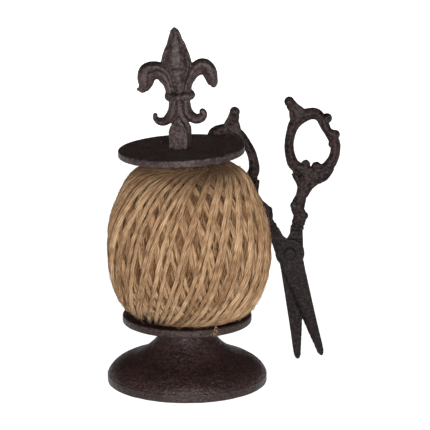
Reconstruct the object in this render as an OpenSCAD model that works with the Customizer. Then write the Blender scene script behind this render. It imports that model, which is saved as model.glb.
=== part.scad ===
// Counter-top string holder: cast foot and dish, spindle, ball of jute twine,
// top plate under a fleur-de-lis finial, and a pair of cast scissors.
// Millimetres, +Z up. The foot stands on z = 0 with its axis on x = y = 0.
// The front faces -Y.

/* [Foot] */
// Diameter of the foot over its rim
base_d = 113; // [108:1:124]
// Height of the foot, from the table to the seat of the dish
base_h = 43.6; // [40:0.2:50]
// Height of the upright rim of the foot
base_rim_h = 6.4; // [5:0.2:8]
// Wall of the hollow casting at the rim
base_wall = 5; // [4:0.25:7]
// Diameter of the neck under the dish
neck_d = 34.2; // [32:0.2:46]
// Thickness of the foot above its hollow, at the centre
web_t = 18.6; // [14:0.2:22]

/* [Dish] */
// Diameter of the dish
tray_d = 91.2; // [84:0.4:104]
// Height of the dish over its rim
tray_h = 5.4; // [4.8:0.2:7]
// Thickness of the floor of the dish
tray_floor = 3; // [2.4:0.2:3.6]

/* [Spindle] */
// Lean of the spindle to the left, away from the upright
post_lean = 2.4; // [0:0.2:3]
// Diameter of the threaded rod
rod_d = 6; // [5:0.5:8]
// Wall of the spacer tube round the rod
sleeve_wall = 1.5; // [1:0.1:2.5]

/* [Top plate] */
// Diameter of the top plate
plate_d = 87; // [60:1:96]
// Thickness of the top plate
plate_t = 5; // [4:0.5:7]

/* [Finial] */
// Height of the finial above the top plate
finial_h = 85; // [78:1:95]
// Width of the square plinth
plinth_w = 16.4; // [14:0.2:20]
// Wall of the spigot that carries the top plate
spigot_wall = 2.4; // [1.6:0.2:3.4]
// Turns of thread held in the finial
thread_turns = 12; // [6:1:14]
// Pitch of the thread
thread_pitch = 1; // [0.8:0.1:1]

/* [Twine] */
// Widest diameter of the ball
ball_d = 116; // [100:1:124]
// Height of the widest level above the underside of the ball
ball_low = 49.1; // [45:0.1:51]
// Height of the round above the widest level, as if it had no hole
ball_up = 66; // [58:0.5:74]
// Depth of the round below the widest level, as if it were not flattened
ball_down = 56; // [54:0.5:62]
// Diameter of the twine
twine_d = 2.4; // [1.8:0.1:2.8]
// Loops of the outer winding
loops = 24; // [12:2:24]

/* [Scissors] */
// Angle between the blades as photographed
open_angle = 13; // [6:0.2:16]
// Lean of the scissors to the left
side_lean = 10.8; // [9:0.2:12]
// Length of a blade from the pivot
blade_len = 80.6; // [74:0.2:84]
// Height of a handle above the pivot
handle_h = 114; // [110:1:118]
// Distance of the pivot to the right of the axis
pivot_x = 73.7; // [70:0.1:90]
// Thickness of the scissor castings
cast_t = 5.4; // [5:0.2:6]
// Diameter of the pivot screw
pivot_d = 5; // [4:0.25:5.5]

/* [Clearances] */
// Radial clearance of a shaft in its hole
run_gap = 0.06; // [0.03:0.01:0.1]
// Clearance between faces that pass each other
free_gap = 0.3; // [0.25:0.05:0.4]
// Space between the top of the ball and the top plate
plate_gap = 2; // [2:0.2:8]
// Clearance of the spacer tube in the hole of the ball, where it leans furthest
hole_gap = 1.6; // [1.4:0.2:4]

/* [Hidden] */
$fn = 64;
iron = "#3a302c";
steel = "#8b8781";
jute = "#b08f61";

base_r = base_d / 2;
tray_r = tray_d / 2;
neck_r = neck_d / 2;
post_z = base_h + tray_floor;
hollow_h = base_h - web_t;
floor_z = post_z + free_gap;
ball_mid = floor_z + ball_low;
plate_z = ball_mid + ball_up + plate_gap - post_z;
fit_hole = rod_d + 2 * run_gap;
sleeve_d = fit_hole + 2 * sleeve_wall;
spigot_d = fit_hole + 2 * spigot_wall;
// Spot faces that lie square to the leaning spindle
seat_cut = 0.4;
tray_seat = -seat_cut;
base_seat = hollow_h + seat_cut - post_z;
washer_t = rod_d * 0.2;
lock_t = rod_d * 0.267;
nut_t = rod_d * 0.83;
jam_t = rod_d * 0.54;
nut_w = rod_d * 1.67;
washer_d = rod_d * 2.2;
rod_bottom = base_seat - washer_t - lock_t - nut_t - rod_d / 3;
sleeve_bottom = tray_seat + washer_t + jam_t;
retainer_t = rod_d * 0.2;
retainer_d = spigot_d * 1.64;
spigot_end = plate_z - retainer_t - 2 * run_gap - 0.6;
plate_top = plate_z + plate_t;
socket_end = spigot_end + thread_turns * thread_pitch + rod_d * 1.5;
rod_top = socket_end - rod_d / 3;

// Points of a cubic curve
function curve(a, b, c, d, n) = [for (i = [0:n]) let (t = i / n, s = 1 - t)
  s * s * s * a + 3 * s * s * t * b + 3 * s * t * t * c + t * t * t * d];

// A point between rows b and c of a smooth line through rows a, b, c and d
function blend(a, b, c, d, t) = 0.5 * (2 * b + (c - a) * t + (2 * a - 5 * b + 4 * c - d) * t * t
  + (3 * b - a - 3 * c + d) * t * t * t);

// Rows of an open line, k steps between the given rows
function open_line(rows, k) = let (n = len(rows)) concat(
  [for (i = [0:n - 2]) for (j = [0:k - 1])
    blend(rows[max(i - 1, 0)], rows[i], rows[i + 1], rows[min(i + 2, n - 1)], j / k)],
  [rows[n - 1]]);

// Rows of a closed line, k steps between the given rows
function ring_line(rows, k) = let (n = len(rows))
  [for (i = [0:n - 1]) for (j = [0:k - 1])
    blend(rows[(i + n - 1) % n], rows[i], rows[(i + 1) % n], rows[(i + 2) % n], j / k)];

function unit(v) = v / norm(v);

// Triangles of a tube of n rings with s sides
function tube_faces(n, s, closed) = concat(
  [for (i = [0:n - (closed ? 1 : 2)]) for (j = [0:s - 1])
    let (k = (i + 1) % n, l = (j + 1) % s)
    each [[i * s + j, k * s + l, i * s + l], [i * s + j, k * s + j, k * s + l]]],
  closed ? [] : [[for (j = [0:s - 1]) j], [for (j = [s - 1:-1:0]) (n - 1) * s + j]]);

// A flat-lying tube in the XZ plane from rows of x, z, half width and half depth
module flat_tube(rows, closed = false, s = 10) {
  n = len(rows);
  points = [for (i = [0:n - 1])
    let (p = rows[closed ? (i + n - 1) % n : max(i - 1, 0)],
         q = rows[closed ? (i + 1) % n : min(i + 1, n - 1)],
         t = unit([q[0] - p[0], q[1] - p[1]]))
    for (j = [0:s - 1]) let (a = 360 * (j + 0.5) / s)
      [rows[i][0] + t[1] * rows[i][2] * cos(a), rows[i][3] * sin(a), rows[i][1] - t[0] * rows[i][2] * cos(a)]];
  polyhedron(points, tube_faces(n, s, closed), convexity = 6);
}

// Puts children in the frame of the leaning spindle, with z = 0 at the floor of the dish
module on_post() {
  translate([0, 0, post_z]) rotate([0, -post_lean, 0]) children();
}

module washer(d, hole, t) {
  difference() {
    cylinder(d = d, h = t);
    translate([0, 0, -1]) cylinder(d = hole, h = t + 2);
  }
}

module hex_nut(w, hole, t) {
  difference() {
    cylinder(d = w / cos(30), h = t, $fn = 6);
    translate([0, 0, -1]) cylinder(d = hole, h = t + 2);
  }
}

// Foot and dish

rod_hole = rod_d + 1;

module base_bell() color(iron) {
  shoulder = curve([base_r - 0.3, base_rim_h], [base_r - 2.2, base_h * 0.25],
                   [base_r * 0.884, base_h * 0.341], [base_r * 0.703, base_h * 0.416], 9);
  throat = curve([base_r * 0.703, base_h * 0.416], [base_r * 0.609, base_h * 0.455],
                 [neck_r + 0.6, base_h * 0.658], [neck_r, base_h], 9);
  inside = curve([base_r - base_wall, base_rim_h - 1], [base_r - base_wall - 2, base_h * 0.22],
                 [base_r * 0.56, base_h * 0.4], [neck_r - 5, hollow_h], 9);
  difference() {
    rotate_extrude() polygon(concat([[0, 0], [base_r - 0.8, 0], [base_r, 0.8], [base_r, base_rim_h - 0.8]],
                                    shoulder, [for (i = [1:9]) throat[i]], [[0, base_h]]));
    rotate_extrude() polygon(concat([[0, -1], [base_r - base_wall, -1]], inside, [[0, hollow_h]]));
    on_post() {
      translate([0, 0, base_seat - 4]) cylinder(d = washer_d + 2, h = 4);
      translate([0, 0, base_seat - 2]) cylinder(d = rod_hole, h = base_h);
    }
  }
}

module tray() color(iron) {
  difference() {
    translate([0, 0, base_h]) rotate_extrude()
      polygon(concat([[0, 0], [tray_r - 1, 0], [tray_r, 1], [tray_r, tray_h - 0.7], [tray_r - 0.7, tray_h],
                      [tray_r - 2.2, tray_h]],
                     curve([tray_r - 2.8, tray_h - 0.6], [tray_r - 3.2, tray_floor + 0.6],
                           [tray_r - 4, tray_floor], [tray_r - 6, tray_floor], 5), [[0, tray_floor]]));
    on_post() {
      translate([0, 0, tray_seat]) cylinder(d = washer_d + 2, h = 4);
      translate([0, 0, -tray_floor - 4]) cylinder(d = rod_hole, h = tray_floor + 8);
    }
  }
}

// Spindle and its fastenings

module tie_rod() color(steel) on_post() translate([0, 0, rod_bottom]) {
  cylinder(d1 = rod_d - 1, d2 = rod_d, h = 0.6);
  translate([0, 0, 0.6]) cylinder(d = rod_d, h = rod_top - rod_bottom - 1.2);
  translate([0, 0, rod_top - rod_bottom - 0.6]) cylinder(d1 = rod_d, d2 = rod_d - 1, h = 0.6);
}

module base_washer() color(steel) on_post()
  translate([0, 0, base_seat - washer_t]) washer(washer_d, fit_hole, washer_t);

module base_lock_washer() color(steel) on_post() translate([0, 0, base_seat - washer_t - lock_t])
  difference() {
    washer(nut_w, fit_hole, lock_t);
    translate([0, -0.6, -1]) cube([nut_w, 1.2, lock_t + 2]);
  }

module base_nut() color(steel) on_post()
  translate([0, 0, base_seat - washer_t - lock_t - nut_t]) hex_nut(nut_w, fit_hole, nut_t);

module tray_washer() color(steel) on_post()
  translate([0, 0, tray_seat]) washer(washer_d, fit_hole, washer_t);

module tray_nut() color(steel) on_post()
  translate([0, 0, tray_seat + washer_t]) hex_nut(nut_w, fit_hole, jam_t);

module spindle_sleeve() color(steel) on_post()
  translate([0, 0, sleeve_bottom]) washer(sleeve_d, fit_hole, spigot_end - free_gap - sleeve_bottom);

// Top plate and finial

module top_plate() color(iron) on_post() translate([0, 0, plate_z]) difference() {
  rotate_extrude() polygon([[0, 0], [plate_d / 2 - 1, 0], [plate_d / 2, 1], [plate_d / 2, plate_t - 0.8],
                            [plate_d / 2 - 0.8, plate_t], [0, plate_t]]);
  translate([0, 0, -1]) cylinder(d = spigot_d + 2 * run_gap, h = plate_t + 2);
}

module finial_retainer() color(steel) on_post()
  translate([0, 0, plate_z - retainer_t - run_gap]) washer(retainer_d, spigot_d + 2 * run_gap, retainer_t);

// Scale of the finial's heights and of its widths, from their photographed sizes
fz = finial_h / 85;
fx = plinth_w / 16.4;

// Rows of x, z, half width and half depth on the right side of the finial
petal = [[6.4, 37.5, 2.6, 4], [8.2, 48, 4.2, 4.8], [14.4, 54.4, 6.4, 5.4], [21.2, 52.8, 5.6, 5], [23.8, 46.5, 3.8, 4.2],
         [25.6, 42, 2.4, 3]];
curl = [[5, 22, 3.4, 4], [9.4, 19.6, 3.6, 4.2], [13.6, 19.2, 3, 3.8], [16.6, 21.8, 2.4, 3], [17, 25, 1.7, 2.2]];
spear = [[0, 34, 6, 5], [0, 42, 8.6, 6], [0, 51, 10.4, 6.8], [0, 59, 10.9, 7], [0, 66, 9.3, 6.4], [0, 73, 6.8, 5],
         [0, 79.5, 4.2, 3.4], [0, 83.6, 2, 1.8], [0, 85, 0.7, 0.7]];
function raised(rows) = [for (r = rows) [r[0] * fx, plate_top + r[1] * fz, r[2] * fx, r[3] * fx]];

module finial() color(iron) on_post() difference() {
  union() {
    translate([-plinth_w / 2, -plinth_w / 2, plate_top + run_gap]) cube([plinth_w, plinth_w, 26 * fz]);
    translate([0, 0, spigot_end]) cylinder(d = spigot_d, h = plate_top - spigot_end + plinth_w / 4);
    translate([0, 0, plate_top + 24 * fz]) cylinder(d = plinth_w * 0.915, h = 10 * fz);
    translate([0, 0, plate_top + 35.6 * fz]) rotate_extrude() polygon(concat([[0, -2.6 * fz]],
      [for (a = [-90:30:90]) [(8 + 2.6 * cos(a)) * fx, 2.6 * sin(a) * fz]], [[0, 2.6 * fz]]));
    flat_tube(raised(open_line(spear, 2)), s = 12);
    for (m = [0, 1]) mirror([m, 0, 0]) {
      flat_tube(raised(open_line(petal, 3)));
      flat_tube(raised(open_line(curl, 2)));
    }
  }
  translate([0, 0, spigot_end - 1]) cylinder(d = fit_hole, h = socket_end - spigot_end + 1);
}

// Ball of twine

ball_r = ball_d / 2;
ball_hole = sleeve_d + 2 * (plate_z * sin(post_lean) + hole_gap);
up_n = 2 / 2.15;
down_n = 2 / 2.4;
// Steepest level of the ball that the winding reaches
turn_level = 78;
// Drop from the outer strands to the strands that cross under them
layer_drop = twine_d + 1.1;
// Where the flattened underside would end without its round corner
flat_deep = ball_mid - floor_z;
round_deep = ball_down * pow(sin(turn_level), down_n);
flat_limit = flat_deep / pow(1 - pow(flat_deep / round_deep, 12), 1 / 12);

// Depth below the widest level, flattened where the ball sits
function sunk(a) = a < 5 ? a : pow(pow(a, -12) + pow(flat_limit, -12), -1 / 12);

// Radius and height on the skin of the ball at a level from -90 to 90
function skin(p) = p >= 0
  ? [ball_r * pow(cos(p), up_n), ball_mid + ball_up * pow(sin(p), up_n)]
  : [ball_r * pow(cos(p), down_n), ball_mid - sunk(ball_down * pow(-sin(p), down_n))];

// The same point moved inwards by a depth, square to the skin
function under(p, depth) =
  let (t = unit(skin(min(p + 1, 89)) - skin(max(p - 1, -89)))) skin(p) - depth * [t[1], -t[0]];

module twine_core() color(jute) {
  depth = twine_d + layer_drop + 0.9;
  levels = [for (p = [-turn_level:6:turn_level]) under(p, depth)];
  bore = ball_hole / 2 + 1.5;
  difference() {
    rotate_extrude() polygon(concat([[0, levels[0][1]]], levels, [[0, levels[len(levels) - 1][1]]]));
    translate([0, 0, -1]) cylinder(r = bore, h = 300);
  }
}

// Steps of one pass between the ends of the hole
pass_steps = 10;
// Turn of the strand about the axis in one pass
pass_turn = 360 * floor(loops * 0.3) / loops / 2;
hole_r = ball_hole / 2 + twine_d / 2;

// One pass: a rising outer strand or a falling inner strand, then its turn at the hole
function pass(k) =
  let (up = k % 2 == 0, d0 = twine_d / 2 + (up ? 0 : layer_drop), d1 = twine_d / 2 + (up ? layer_drop : 0))
  concat(
    [for (i = [0:pass_steps]) let (p = turn_level * (2 * i / pass_steps - 1) * (up ? 1 : -1),
                                   q = under(p, d0))
      [max(q[0], hole_r + 0.6), k * pass_turn + pass_turn * i / (pass_steps + 0.0), q[1]]],
    let (p = turn_level * (up ? 1 : -1), a = under(p, d0), b = under(p, d1))
    [for (s = [0.25, 0.75]) [hole_r - 0.9, (k + 1) * pass_turn, a[1] + (b[1] - a[1]) * s]]);

// Free end of the twine: radius, turn and height down over the rim of the dish
end_turn = 23;
start_step = 3;
tail = [[tray_r + 2.2, 0, base_h - 0.6], [tray_r + 2.2, 0, base_h + 2], [tray_r + 2, 0, base_h + 5.2],
        [tray_r + 1.4, 0.4, base_h + 8.6]];

wound = concat(tail, [for (k = [0:2 * loops - 2]) let (run = pass(k))
  for (i = [k == 0 ? start_step : 0:len(run) - (k == 2 * loops - 2 ? 6 : 1)])
    [run[i][0], run[i][1] - pass_turn * start_step / pass_steps + 2, run[i][2]]]);
path = [for (w = wound) [w[0] * sin(w[1] + end_turn), -w[0] * cos(w[1] + end_turn), w[2]]];

// Least gap of the winding to itself, on points along one loop, as all loops are alike
path_points = [for (i = [0:len(path) - 2]) for (t = [0:5]) path[i] + (path[i + 1] - path[i]) * t / 6];
one_loop = 2 * 6 * (pass_steps + 3);
least_gap = min([for (i = [one_loop:2 * one_loop]) for (j = [0:len(path_points) - 1])
  if (abs(i - j) > 20) norm(path_points[i] - path_points[j])]) - twine_d;
echo(least_gap = least_gap);

module twine_winding() color(jute) {
  s = 6;
  n = len(path);
  points = [for (i = [0:n - 1])
    let (t = unit(path[min(i + 1, n - 1)] - path[max(i - 1, 0)]),
         e = unit([-path[i][1], path[i][0], 0]), b = unit(e - (e * t) * t), c = cross(t, b))
    for (j = [0:s - 1]) path[i] + twine_d / 2 * (b * cos(60 * j) + c * sin(60 * j))];
  polyhedron(points, tube_faces(n, s, false), convexity = 10);
}

// Scissors

// Scale of the handles, from their photographed height
hs = handle_h / 114;
// Rows of x, z and half width round the finger ring and down the shank
finger_ring = hs * [[4.5, 78.5, 3.3], [5.4, 68.6, 3.6], [10, 60.5, 4.4], [18.5, 57.6, 5.2], [28, 59, 5],
               [35, 66, 4.2], [37.3, 75, 3.8], [35, 85.5, 4.2], [30.4, 95, 4.3], [22, 100.8, 4.5],
               [12.8, 99, 4.5], [6.9, 90, 3.7]];
shank = hs * [[17.5, 55, 6], [14.6, 48, 5.2], [11.4, 42, 4.3], [8.5, 35, 5], [8.2, 31, 4.1], [9.2, 26.4, 5.2],
         [7.6, 22.4, 4.4], [6.4, 17, 4.4]];
// Rows of the web that carries the end knob
web = hs * [[7.4, 110, 2.8], [10.6, 106, 4], [15, 102, 4]];
blade = [[-8, -6], [-7, -16], [-5.6, -32], [-4.4, -48], [-3.4, -64], [-2.8, -75], [-1, -79.6], [0, -80.6],
         [1, -79.6], [2.5, -75], [3.6, -65], [5.4, -52], [7.4, -36], [9, -20], [9.8, -8]];
blade_s = blade_len / 80.6;

pivot_h = blade_len * cos(side_lean - open_angle / 2);
lap_gap = free_gap / 2;

// How far the ball and the top plate reach back at a place seen from the front
function ball_back(x, z) = let (h = max(z - ball_mid, 0) / ball_up,
                                r = h < 1 ? ball_r * pow(1 - pow(h, 2 / up_n), up_n / 2) : 0)
  r > abs(x) ? sqrt(r * r - x * x) : 0;
plate_x = -plate_z * sin(post_lean);
function plate_back(x) = abs(x - plate_x) < plate_d / 2 ? sqrt(pow(plate_d / 2, 2) - pow(x - plate_x, 2)) : 0;

// The scissors stand upright just behind the ball and the plate, wherever the left ring meets them
front_turn = side_lean + open_angle / 2;
ring_spots = [for (r = finger_ring) for (a = [0:30:90]) for (b = [0:45:315])
  let (u = r[0] + r[2] * sin(a) * cos(b), v = r[1] + r[2] * sin(a) * sin(b))
    [pivot_x - u * cos(front_turn) - v * sin(front_turn), cast_t / 2 * cos(a),
     pivot_h - u * sin(front_turn) + v * cos(front_turn)]];
scissor_y = free_gap + max([for (p = ring_spots) p[1] + max(ball_back(p[0], p[2]), plate_back(p[0]))]);

// Puts children in the frame of the scissors: the pivot at 0, handles along +Z, the back along +Y
module on_scissors() {
  translate([pivot_x, scissor_y, pivot_h]) rotate([0, -side_lean, 0]) children();
}

// One half: the right handle with the left blade; side +1 laps behind, -1 in front
module half(side) {
  difference() {
    union() {
      flat_tube([for (r = ring_line(finger_ring, 3)) [r[0], r[1], r[2], cast_t / 2]], closed = true, s = 8);
      flat_tube([for (r = open_line(shank, 2)) [r[0], r[1], r[2], cast_t / 2]], s = 8);
      translate([7.2 * hs, 0, 110 * hs]) sphere(d = 7.8 * hs);
      flat_tube([for (r = open_line(web, 2)) [r[0], r[1], r[2], cast_t / 2 - 0.4]], s = 8);
      for (p = hs * [[33.4, 96.4], [38, 86.4]]) translate([p[0], 0, p[1]]) sphere(d = 6 * hs);
      for (p = hs * [[12.8, 64.4], [23.6, 61]]) translate([p[0], 0, p[1]]) sphere(d = 7 * hs);
      translate([0, side * (lap_gap + cast_t / 2) / 2, 0]) rotate([90, 0, 0])
        linear_extrude(cast_t / 2 - lap_gap, center = true) {
          circle(r = 10.5 * hs);
          polygon(hs * [[2, 20], [10.6, 20], [10, 4], [8, -7], [-8, -6], [-7, 4], [-2, 9.5], [1, 14]]);
          polygon([for (p = blade) [p[0] * hs, p[1] * blade_s]]);
        }
    }
    rotate([90, 0, 0]) cylinder(d = pivot_d + 2 * run_gap, h = 40, center = true);
  }
}

module scissor_front_half() color(iron) on_scissors() rotate([0, -open_angle / 2, 0]) mirror([1, 0, 0]) half(-1);
module scissor_back_half() color(iron) on_scissors() rotate([0, open_angle / 2, 0]) half(1);

face = cast_t / 2;
head_h = pivot_d * 0.4;

module pivot_screw() color(steel) on_scissors() rotate([-90, 0, 0]) difference() {
  union() {
    translate([0, 0, -face - head_h]) cylinder(d1 = pivot_d * 1.4, d2 = pivot_d * 1.8, h = head_h - 0.6);
    translate([0, 0, -face - 0.6]) cylinder(d = pivot_d * 1.8, h = 0.6);
    translate([0, 0, -face - 0.6]) cylinder(d = pivot_d, h = 2 * face + 0.6 + washer_t + 4.6);
  }
  translate([-pivot_d, -0.5, -face - head_h - 1]) cube([pivot_d * 2, 1, 2]);
}

module pivot_washer() color(steel) on_scissors() rotate([-90, 0, 0])
  translate([0, 0, face + run_gap]) washer(pivot_d * 2, pivot_d + 2 * run_gap, washer_t);

module pivot_nut() color(steel) on_scissors() rotate([-90, 0, 0])
  translate([0, 0, face + run_gap + washer_t]) hex_nut(pivot_d * 1.6, pivot_d + 2 * run_gap, pivot_d * 0.68);

base_bell();
tray();
tie_rod();
base_washer();
base_lock_washer();
base_nut();
tray_washer();
tray_nut();
spindle_sleeve();
top_plate();
finial();
finial_retainer();
twine_core();
twine_winding();
scissor_front_half();
scissor_back_half();
pivot_screw();
pivot_washer();
pivot_nut();
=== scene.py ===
"""Dressed scene of a counter-top string holder: cast iron, a ball of jute twine and cast scissors.

Lengths in the sub-assemblies are millimetres, and each piece is scaled to metres when it is put in
its place. Lengths in the finishes and in the studio are metres.
"""

import logging
import math
from collections.abc import Sequence
from dataclasses import dataclass
from enum import Enum

import bmesh
import bpy
import numpy as np
from mathutils import Matrix, Vector, noise


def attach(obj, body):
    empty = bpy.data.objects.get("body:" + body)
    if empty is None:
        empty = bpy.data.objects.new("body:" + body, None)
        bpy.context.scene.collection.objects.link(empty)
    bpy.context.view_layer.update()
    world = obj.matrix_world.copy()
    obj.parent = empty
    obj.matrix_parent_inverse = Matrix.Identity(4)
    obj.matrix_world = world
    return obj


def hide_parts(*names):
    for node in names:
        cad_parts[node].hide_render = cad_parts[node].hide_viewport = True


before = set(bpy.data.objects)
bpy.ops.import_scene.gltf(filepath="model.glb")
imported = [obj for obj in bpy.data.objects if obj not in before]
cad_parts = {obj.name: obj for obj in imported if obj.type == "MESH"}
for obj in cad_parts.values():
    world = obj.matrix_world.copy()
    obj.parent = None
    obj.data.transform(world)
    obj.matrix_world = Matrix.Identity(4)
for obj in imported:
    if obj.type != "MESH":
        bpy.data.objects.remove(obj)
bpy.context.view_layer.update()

MM = 0.001
TURNED_CREASE = 40.0
CAST_CREASE = 80.0
MERGE_DISTANCE = 1e-5
FIBRE_STEPS = np.linspace(0.0, 1.0, 5)
log = logging.getLogger("string_holder")

Pair = tuple[float, float]
Triple = tuple[float, float, float]
Colour = Triple
Points = list[Pair]
Rows = Sequence[tuple[float, ...]]
Lines = list[np.ndarray]
Beads = Sequence[tuple[Triple, Triple]]
Solid = bmesh.types.BMesh
Material = bpy.types.Material
Socket = bpy.types.NodeSocket
Random = np.random.Generator
Inputs = dict[str | int, Socket | float | tuple[float, ...]]


class Body(Enum):
    """Bodies that the pieces ride on."""

    HOLDER = "holder"
    TOP = "top"
    FINIAL = "finial"
    TWINE = "twine"
    SCISSORS = "scissors"
    SCISSOR_ARM = "scissor_arm"


class Slot(Enum):
    """Names of material slots, which the pieces here do not use; each piece gets its finish directly."""

    IRON = "cast_iron"
    JUTE = "jute"


class Lap(Enum):
    """Side of the scissors' middle plane that a half laps on."""

    FRONT = -1
    BACK = 1


# Node trees


class Graph:
    """A material's node tree, with short ways to add and join its nodes."""

    def __init__(self, name: str) -> None:
        """Starts a material with a Principled surface.

        Args:
            name: Name of the material.
        """
        self.material = bpy.data.materials.new(name)
        self.material.use_nodes = True
        self.tree = self.material.node_tree
        self.tree.nodes.clear()
        self.surface = self.node("BsdfPrincipled")
        self.output = self.node("OutputMaterial", {"Surface": self.surface.outputs[0]})

    def fill(self, node: bpy.types.Node, values: Inputs) -> None:
        """Sets a node's inputs.

        Args:
            node: The node.
            values: For each input, an output to join to it or a plain value.
        """
        for key, value in values.items():
            if isinstance(value, Socket):
                self.tree.links.new(value, node.inputs[key])
            else:
                node.inputs[key].default_value = value

    def node(self, kind: str, values: Inputs | None = None) -> bpy.types.Node:
        """Adds a node.

        Args:
            kind: Type of the node, without the words that all shader nodes start with.
            values: What its inputs get.

        Returns:
            The node.
        """
        node = self.tree.nodes.new("ShaderNode" + kind)
        self.fill(node, values or {})
        return node

    def dressed(self, values: Inputs) -> Material:
        """Sets the surface's inputs and returns the material."""
        self.fill(self.surface, values)
        return self.material

    def place(self, output: str) -> Socket:
        """Returns an output of the Texture Coordinate node, such as Object or UV."""
        return self.node("TexCoord").outputs[output]

    def scaled(self, vector: Socket, scale: Triple) -> Socket:
        """Returns a vector stretched by a factor along each axis."""
        return self.node("Mapping", {"Vector": vector, "Scale": scale}).outputs[0]

    def noise(self, vector: Socket, scale: float, detail: float) -> Socket:
        """Returns grey noise, with its repeats for each unit of the vector and its finer octaves."""
        return self.node("TexNoise", {"Vector": vector, "Scale": scale, "Detail": detail}).outputs[0]

    def pits(self, vector: Socket, scale: float) -> Socket:
        """Returns the distance to the nearest centre of a cell texture."""
        return self.node("TexVoronoi", {"Vector": vector, "Scale": scale}).outputs["Distance"]

    def wear(self) -> Socket:
        """Returns how far the surface stands out, high on edges."""
        return self.node("NewGeometry").outputs["Pointiness"]

    def height(self, vector: Socket) -> Socket:
        """Returns the upright part of a vector."""
        return self.node("SeparateXYZ", {0: vector}).outputs["Z"]

    def length(self, vector: Socket) -> Socket:
        """Measures a vector.

        Args:
            vector: The vector.

        Returns:
            Its length.
        """
        node = self.node("VectorMath", {0: vector})
        node.operation = "LENGTH"
        return node.outputs["Value"]

    def math(self, kind: str, first: Socket, second: Socket | float) -> Socket:
        """Joins two grey values.

        Args:
            kind: Name of the operation.
            first: The first value.
            second: The second value, or a number.

        Returns:
            The result.
        """
        node = self.node("Math", {0: first, 1: second})
        node.operation = kind
        return node.outputs[0]

    def share(self, *parts: tuple[Socket, float]) -> Socket:
        """Adds grey values by their weights.

        Args:
            parts: Each value and its weight.

        Returns:
            The sum.
        """
        total, *others = [self.math("MULTIPLY", value, weight) for value, weight in parts]
        for other in others:
            total = self.math("ADD", total, other)
        return total

    def span(self, value: Socket, start: Pair, stop: Pair) -> Socket:
        """Maps a grey value smoothly from one range to another.

        Args:
            value: The value to map.
            start: Where the range starts, and what it becomes there.
            stop: Where the range ends, and what it becomes there.

        Returns:
            The mapped value.
        """
        node = self.node("MapRange", {"Value": value, "From Min": start[0], "From Max": stop[0],
                                      "To Min": start[1], "To Max": stop[1]})
        node.interpolation_type = "SMOOTHSTEP"
        return node.outputs[0]

    def ramp(self, factor: Socket, stops: list[tuple[float, Colour]]) -> Socket:
        """Turns a grey value into a colour.

        Args:
            factor: The grey value.
            stops: Places and colours along the ramp: its first, its last, and any between them.

        Returns:
            The colour.
        """
        node = self.node("ValToRGB", {0: factor})
        steps = node.color_ramp.elements
        for step, (spot, colour) in zip(steps, stops[:2]):
            step.position = spot
            step.color = (*colour, 1.0)
        for spot, colour in stops[2:]:
            steps.new(spot).color = (*colour, 1.0)
        return node.outputs[0]

    def mix(self, factor: Socket, under: Socket, over: Colour | Socket) -> Socket:
        """Lays one colour over another.

        Args:
            factor: How much of the upper colour shows.
            under: The lower colour.
            over: The upper colour.

        Returns:
            The mixed colour.
        """
        node = self.node("Mix")
        node.data_type = "RGBA"
        upper = over if isinstance(over, Socket) else (*over, 1.0)
        self.fill(node, {0: factor, 6: under, 7: upper})
        return node.outputs[2]

    def bump(self, height: Socket, depth: float, under: Socket | None = None) -> Socket:
        """Adds relief to the surface.

        Args:
            height: Grey value of the relief.
            depth: Depth of the relief in metres.
            under: A coarser relief below it.

        Returns:
            The normal.
        """
        values = {"Strength": 1.0, "Distance": depth, "Height": height}
        if under is not None:
            values["Normal"] = under
        return self.node("Bump", values).outputs[0]


# Finishes


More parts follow.
